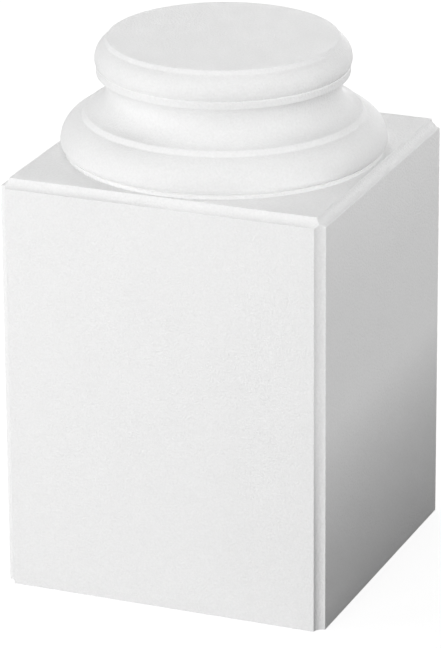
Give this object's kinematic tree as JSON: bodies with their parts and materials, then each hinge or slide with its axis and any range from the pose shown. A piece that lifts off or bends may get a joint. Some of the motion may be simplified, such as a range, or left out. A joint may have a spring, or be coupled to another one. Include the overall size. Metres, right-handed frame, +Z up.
{
  "type": "column base",
  "caption": "Square pedestal block with hollow coves along its edges, carrying a round Attic column base with a flat seat for the shaft.",
  "frame": {"origin": "centre of the block's flat underside, on the surface that it stands on", "axes": "+Z up along the column's axis; +X and +Y square to the block's faces, with its front towards -Y"},
  "size_m": [0.33, 0.33, 0.529],
  "materials": {
    "moulded_white": "matt white primer on rigid moulded foam, with a fine even tooth"
  },
  "bodies": {
    "root": {"pedestal_block": "moulded_white", "round_base": "moulded_white"}
  },
  "joints": []
}
